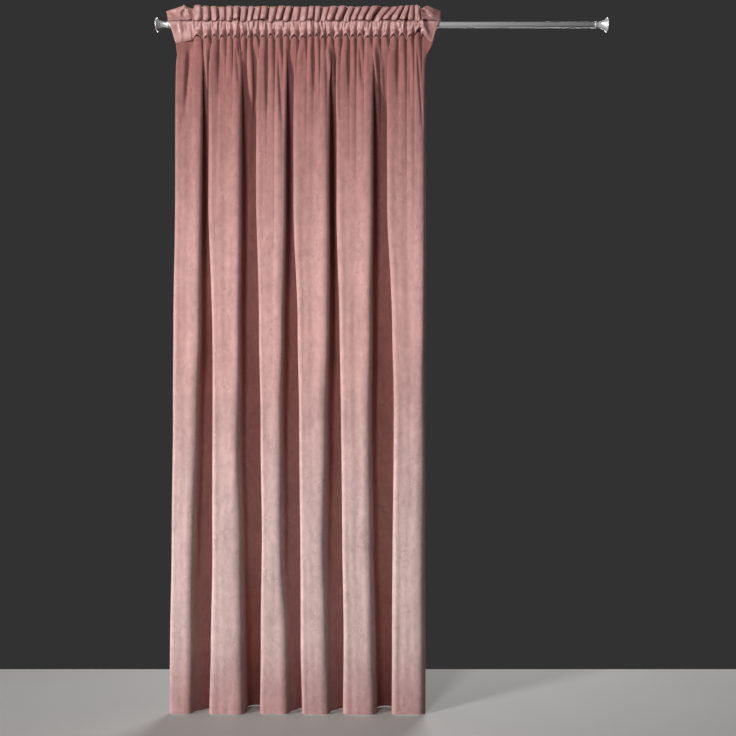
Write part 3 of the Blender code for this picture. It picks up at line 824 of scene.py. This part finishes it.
def finial_profile():
    """Radius and distance from the tube's end, from the middle of the rim's face to the spigot's foot."""
    lip = FINIAL_LIP / 2
    face = FINIAL_LENGTH - FACE_SUNK
    profile = [(0.0, face), (FINIAL_RIM - 0.0065, face), (FINIAL_RIM - 0.0045, face + 0.0012)]
    for step in range(LIP_STEPS + 1):
        turn = math.radians(110 - 20 * step)
        profile.append((FINIAL_RIM - lip + lip * math.cos(turn), FINIAL_LENGTH - lip + lip * math.sin(turn)))
    foot = COLLAR + 0.0025
    for step in range(1, FLARE_STEPS + 1):
        share = 1 - step / FLARE_STEPS
        radius = FINIAL_NECK - 0.001 + (FINIAL_RIM - lip - FINIAL_NECK) * share**FLARE
        profile.append((radius, foot + share * (FINIAL_LENGTH - FINIAL_LIP - foot)))
    spigot = ROD_RADIUS - ROD_WALL - 0.0004
    ring = FINIAL_NECK + 0.0004
    profile += [(FINIAL_NECK - 0.0006, COLLAR + 0.0008), (FINIAL_NECK, COLLAR), (ring, COLLAR - 0.001)]
    profile += [(ring, 0.0016), (FINIAL_NECK, 0.0006), (spigot, 0.0003), (spigot, 0.002 - SPIGOT)]
    return profile + [(spigot - 0.002, -SPIGOT), (0.0, -SPIGOT)]


def finial(name, side):
    profile = [(r, side * (ROD_HALF + along)) for r, along in finial_profile()]
    return turned(name, profile[::-side], False, "finial_metal")


# ---- finishes

def feed(tree, made, inputs):
    """Gives a node's inputs their values, or joins them to other nodes' outputs."""
    for name, value in inputs.items():
        if isinstance(value, bpy.types.NodeSocket):
            tree.links.new(value, made.inputs[name])
        else:
            made.inputs[name].default_value = value


def node(tree, kind, inputs, **settings):
    """A node with its settings made and its inputs fed."""
    made = tree.nodes.new("ShaderNode" + kind)
    for name, value in settings.items():
        setattr(made, name, value)
    feed(tree, made, inputs)
    return made


def maths(tree, operation, *values):
    return node(tree, "Math", dict(enumerate(values)), operation=operation).outputs[0]


def grain(tree, place, scale, detail, roughness=0.5, wander=0.0):
    """Noise from 0 to 1. `scale` is how many lumps it has in a metre."""
    made = node(tree, "TexNoise", {
        "Vector": place, "Scale": scale, "Detail": detail, "Roughness": roughness, "Distortion": wander,
    })
    return made.outputs["Fac"]


def mixed(tree, factor, first, second, blend="MIX"):
    """The colour between two, each a socket or a colour."""
    made = node(tree, "Mix", {0: factor, 6: first, 7: second}, data_type="RGBA", blend_type=blend)
    return made.outputs[2]


def ramp(tree, factor, start, end, way="SMOOTHSTEP"):
    """The factor stretched so that `start` becomes 0 and `end` becomes 1, with soft ends or with none."""
    limits = {"Value": factor, "From Min": start, "From Max": end}
    return node(tree, "MapRange", limits, interpolation_type=way).outputs["Result"]


def stretched(tree, place, factors):
    return node(tree, "VectorMath", {0: place, 1: factors}, operation="MULTIPLY").outputs[0]


def new_group(name, vector, numbers, outputs):
    """An empty node group into which a vector and some numbers go, and the sockets inside it."""
    group = bpy.data.node_groups.new(name, "ShaderNodeTree")
    group.interface.new_socket(vector, in_out="INPUT", socket_type="NodeSocketVector")
    for label in numbers:
        group.interface.new_socket(label, in_out="INPUT", socket_type="NodeSocketFloat")
    for label in outputs:
        group.interface.new_socket(label, in_out="OUTPUT", socket_type="NodeSocketFloat")
    return group, group.nodes.new("NodeGroupInput").outputs, group.nodes.new("NodeGroupOutput").inputs


def nap_group():
    """Pile that lies this way and that: clouds of paler and deeper tone, brushed marks, and small crushed
    spots."""
    numbers = ["Cloud size", "Mark size", "Amount", "Crush size", "Crush amount"]
    group, given, asked = new_group("Brushed nap", "Cloth", numbers, ["Tone"])
    longer = stretched(group, given["Cloth"], (1.0, 0.55, 1.0))
    tone = 1.0
    for size, detail, wander in (("Cloud size", 3.0, 0.6), ("Mark size", 2.0, 0.4)):
        lumps = grain(group, longer, maths(group, "DIVIDE", 1.0, given[size]), detail, 0.55, wander)
        centred = maths(group, "SUBTRACT", lumps, 0.5)
        tone = maths(group, "ADD", tone, maths(group, "MULTIPLY", centred, given["Amount"]))
    curls = grain(group, given["Cloth"], maths(group, "DIVIDE", 1.0, given["Crush size"]), 1.5, wander=1.6)
    crushed = maths(group, "MULTIPLY", maths(group, "SUBTRACT", curls, 0.5), given["Crush amount"])
    patches = ramp(group, grain(group, given["Cloth"], 14.0, 1.0), 0.46, 0.70)
    whole = maths(group, "ADD", tone, maths(group, "MULTIPLY", crushed, patches))
    group.links.new(whole, asked["Tone"])
    return group


def surface_group():
    """Fine pile or weave: a dense small noise over a faint grid of threads, as a height from 0 to 1."""
    numbers = ["Pile size", "Thread pitch", "Thread share"]
    group, given, asked = new_group("Cloth surface", "Cloth", numbers, ["Height"])
    pile = grain(group, given["Cloth"], maths(group, "DIVIDE", 1.0, given["Pile size"]), 2.0)
    turns = maths(group, "DIVIDE", 2 * math.pi, given["Thread pitch"])
    grid = node(group, "VectorMath", {0: given["Cloth"], "Scale": turns}, operation="SCALE").outputs[0]
    split = node(group, "SeparateXYZ", {0: grid}).outputs
    threads = maths(group, "MULTIPLY", maths(group, "SINE", split["X"]), maths(group, "SINE", split["Y"]))
    raised = maths(group, "MULTIPLY", threads, given["Thread share"])
    group.links.new(maths(group, "ADD", pile, raised), asked["Height"])
    return group


def metal_group():
    """Fine turned lines round a metal piece, and faint handling marks."""
    group, given, asked = new_group("Turned metal", "Place", ["Line pitch"], ["Lines", "Marks"])
    drawn = stretched(group, given["Place"], (1.0, 0.02, 0.02))
    lines = grain(group, drawn, maths(group, "DIVIDE", 1.0, given["Line pitch"]), 2.0)
    group.links.new(lines, asked["Lines"])
    group.links.new(grain(group, given["Place"], 60.0, 3.0), asked["Marks"])
    return group


def placed(tree, group, inputs):
    return node(tree, "Group", inputs, node_tree=group).outputs


def begin(name):
    """A new material, its nodes, its shader, and where the shaded point is in the room."""
    made = bpy.data.materials.new(name)
    made.use_nodes = True
    tree = made.node_tree
    return made, tree, tree.nodes["Principled BSDF"], node(tree, "TexCoord", {}).outputs["Object"]


def cloth_look(tree, shader, colour, nap, surface, strength, distance):
    """A cloth's colour under its nap's tone, and its pile or weave as a bump, both laid out on the flat
    cloth."""
    flat = node(tree, "UVMap", {}, uv_map="Flat cloth").outputs["UV"]
    tone = placed(tree, NAP, {"Cloth": flat, **nap})["Tone"]
    grey = node(tree, "CombineColor", {0: tone, 1: tone, 2: tone}).outputs[0]
    height = placed(tree, SURFACE, {"Cloth": flat, **surface})["Height"]
    bump = node(tree, "Bump", {"Height": height, "Strength": strength, "Distance": distance}).outputs[0]
    feed(tree, shader, {"Base Color": mixed(tree, 1.0, colour, grey, "MULTIPLY"), "Normal": bump})


def velvet_finish():
    made, tree, shader, place = begin("Rose velvet")
    spot = node(tree, "SeparateXYZ", {0: place}).outputs
    # Painted shade and painted sheen by height: darker under the heading and towards the hem, paler low down
    hung = VELVET_SHADED_TOP
    for start, end, colour in VELVET_SHADE_AND_SHEEN_BY_HEIGHT:
        hung = mixed(tree, ramp(tree, spot["Z"], start, end), hung, colour)
    # Painted shade: the velvet darker and redder the further back it lies in the folds' valleys
    valley_shade = ramp(tree, spot["Y"], *VALLEY_SHADE_DEPTHS, way="LINEAR")
    pile = mixed(tree, valley_shade, (1.0, 1.0, 1.0, 1.0), VELVET_VALLEY_SHADE)
    cloth_look(
        tree, shader, mixed(tree, 1.0, hung, pile, "MULTIPLY"),
        {"Cloud size": 0.085, "Mark size": 0.017, "Amount": 0.50, "Crush size": 0.0065, "Crush amount": 1.10},
        {"Pile size": 0.0009, "Thread pitch": 0.0012, "Thread share": 0.10},
        strength=0.35, distance=0.0006,
    )
    feed(tree, shader, {
        "Roughness": 0.92, "Specular IOR Level": 0.15,
        "Sheen Weight": 0.28, "Sheen Roughness": 0.5, "Sheen Tint": (1.0, 0.78, 0.76, 1.0),
    })
    return made


def satin_finish():
    made, tree, shader, _ = begin("Rose satin heading")
    cloth_look(
        tree, shader, SATIN,
        {"Cloud size": 0.05, "Mark size": 0.012, "Amount": 0.30, "Crush size": 0.0080, "Crush amount": 0.40},
        {"Pile size": 0.0012, "Thread pitch": 0.0007, "Thread share": 0.50},
        strength=0.20, distance=0.0004,
    )
    feed(tree, shader, {
        "Roughness": 0.42, "Specular IOR Level": 0.55,
        "Sheen Weight": 0.20, "Sheen Roughness": 0.4, "Sheen Tint": (1.0, 0.82, 0.80, 1.0),
    })
    return made


def thread_finish():
    made, tree, shader, place = begin("Rose sewing thread")
    twist = node(tree, "TexWave", {"Vector": place, "Scale": 900.0, "Distortion": 1.0}).outputs["Fac"]
    feed(tree, shader, {"Base Color": mixed(tree, twist, THREAD_DEEP, THREAD_PALE), "Roughness": 0.55})
    return made


def metal_finish(name, pitch):
    made, tree, shader, place = begin(name)
    given = placed(tree, METAL, {"Place": place, "Line pitch": pitch})
    tone = mixed(tree, given["Marks"], STEEL_DULL, STEEL)
    rough = node(tree, "MapRange", {"Value": given["Marks"], "To Min": SMOOTHEST, "To Max": ROUGHEST})
    bump = node(tree, "Bump", {"Height": given["Lines"], "Strength": 0.15, "Distance": 0.0001}).outputs[0]
    feed(tree, shader, {
        "Base Color": tone, "Roughness": rough.outputs["Result"], "Normal": bump, "Metallic": METALLIC,
    })
    return made


def floor_finish():
    made, tree, shader, place = begin("Pale floor")
    tone = mixed(tree, grain(tree, place, 3.0, 4.0), FLOOR_DEEP, FLOOR_PALE)
    feed(tree, shader, {"Base Color": tone, "Roughness": 0.75})
    return made


# The velvet's colour down the curtain, with painted shade and painted sheen in it: painted shade darkest at
# the top under the heading, a painted sheen that makes it palest low down, and painted shade again towards
# the hem. Each tone grows from none to whole between two heights
VELVET_SHADED_TOP = (0.212, 0.093, 0.087, 1.0)
VELVET_SHADE_AND_SHEEN_BY_HEIGHT = (
    (-0.10, -1.13, (0.354, 0.203, 0.192, 1.0)),
    (-1.13, -2.05, (0.403, 0.284, 0.274, 1.0)),
    (-2.30, HEM, (0.301, 0.178, 0.172, 1.0)),
)
VELVET_VALLEY_SHADE = (0.74, 0.43, 0.38, 1.0)  # painted shade: times the others deep in the folds' valleys, darker and redder the further back the cloth lies
VALLEY_SHADE_DEPTHS = (-0.034, 0.056)  # the y where that painted shade starts, and where it is whole
SATIN = (0.296, 0.142, 0.134, 1.0)
THREAD_DEEP = (0.30, 0.13, 0.12, 1.0)
THREAD_PALE = (0.48, 0.26, 0.25, 1.0)
STEEL = (0.66, 0.67, 0.68, 1.0)
STEEL_DULL = (0.594, 0.603, 0.612, 1.0)
SMOOTHEST, ROUGHEST = 0.24, 0.38  # the steel's roughness, by its handling marks
METALLIC = 0.55  # the satin lacquer over the metal scatters the rest
FLOOR_DEEP = (0.44, 0.43, 0.42, 1.0)
FLOOR_PALE = (0.48, 0.47, 0.46, 1.0)

NAP, SURFACE, METAL = nap_group(), surface_group(), metal_group()
FINISHES = {
    "velvet": velvet_finish(),
    "heading_cloth": satin_finish(),
    "thread": thread_finish(),
    "rod_metal": metal_finish("Satin steel rod", 0.0004),
    "finial_metal": metal_finish("Satin steel finial", 0.0003),
}


# ---- putting it together

def make_panel():
    cols = gather_columns(cloth_steps(), PANEL_WING_STEPS)
    drops = panel_drops()
    rows = panel_rows(cols, drops)
    panel = cloth("velvet_curtain", rows, "velvet", laid_flat(cols, CUT_WIDTH, drops))
    extras = turnings(cols, rows, drops)
    out = aside(rows)
    above_hem = DROP - drops
    for number, line in enumerate(HEM_STITCHES, 1):
        row = int(np.argmin(np.abs(above_hem - line)))
        extras.append(stitches(f"hem_stitches_{number}", rows[row], out[row], "velvet"))
    for side, from_edge in (("left", cols.share * CUT_WIDTH), ("right", (1 - cols.share) * CUT_WIDTH)):
        column = int(np.argmin(np.abs(from_edge - SIDE_STITCHES)))
        line, normals = rows[2:-2, column], out[2:-2, column]
        extras.append(stitches(f"side_hem_stitches_{side}", line, normals, "velvet"))
    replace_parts(panel, "velvet_panel")


def make_heading():
    cols = gather_columns([HEADING_STEPS] * len(GATHERS), HEADING_WING_STEPS, HEADING_CROWD)
    rows = heading_rows(cols)
    down = length_along(rows[:, rows.shape[1] // 2])
    heading = cloth("gathered_heading", rows, "heading_cloth", laid_flat(cols, HEADING_WIDTH, down))
    front, back = [i * SECTION_STEPS for i, station in enumerate(SECTION) if station.height == FRILL_SEAM]
    sewn = (("frill_stitches_front", front, -1.0), ("frill_stitches_back", back, 1.0),
            ("pocket_stitches_back", -2, 1.0))
    for name, row, way in sewn:
        out = np.tile((0.0, way, 0.0), (rows.shape[1], 1))
        stitches(name, rows[row], out, "heading_cloth")
    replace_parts(heading, "heading")


def make_rod():
    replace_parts(rod_tube(), "rod")
    for name, side in (("left", -1), ("right", 1)):
        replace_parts(finial(f"flared_finial_{name}", side), f"finial_{name}")


def area_light(name, place, target, size, power, colour, spread):
    light = bpy.data.lights.new(name, "AREA")
    light.shape = "RECTANGLE"
    light.size, light.size_y = size
    light.energy = power
    light.color = colour
    light.spread = math.radians(spread)
    made = put(name, light)
    made.location = place
    made.rotation_euler = (Vector(target) - Vector(place)).to_track_quat("-Z", "Y").to_euler()


FLOOR_GAP = 0.004  # between the lowest point of the hem and the floor
FLOOR_CORNERS = ((-2.4, -2.8), (2.4, -2.8), (2.4, 0.5), (-2.4, 0.5))
WHITE = (1.0, 1.0, 1.0)
WARM_WHITE = (1.0, 0.985, 0.97)


def studio():
    floor = bpy.data.meshes.new("floor")
    corners = [(x, y, HEM - FLOOR_GAP) for x, y in FLOOR_CORNERS]
    floor.from_pydata(corners, [], [(0, 1, 2, 3)])
    floor.materials.append(floor_finish())
    put("floor", floor)
    area_light("key light", (-7.60, -5.10, -1.30), (-0.3, 0.0, -1.80), (1.3, 2.3), 168, WARM_WHITE, 60)
    area_light("front fill", (-1.4, -3.7, 1.9), (-0.3, 0.0, -0.35), (0.8, 1.2), 19, WHITE, 62)
    area_light("back light", (1.0, 4.0, 1.0), (-0.3, 0.0, -1.0), (2.4, 2.4), 170, WHITE, 180)
    world = bpy.data.worlds.new("Studio")
    world.use_nodes = True
    background = world.node_tree.nodes["Background"]
    feed(world.node_tree, background, {"Color": (0.8, 0.8, 0.8, 1.0), "Strength": 0.04})
    bpy.context.scene.world = world
    bpy.context.scene.view_settings.view_transform = "Standard"


def camera():
    lens = bpy.data.cameras.new("camera")
    lens.lens, lens.sensor_width = 45.0, 36.0
    made = put("camera", lens)
    made.location = (-0.0534, -3.53, -1.3165)
    made.rotation_euler = (math.pi / 2, 0, 0)
    bpy.context.scene.camera = made


make_rod()
make_heading()
make_panel()
studio()
camera()
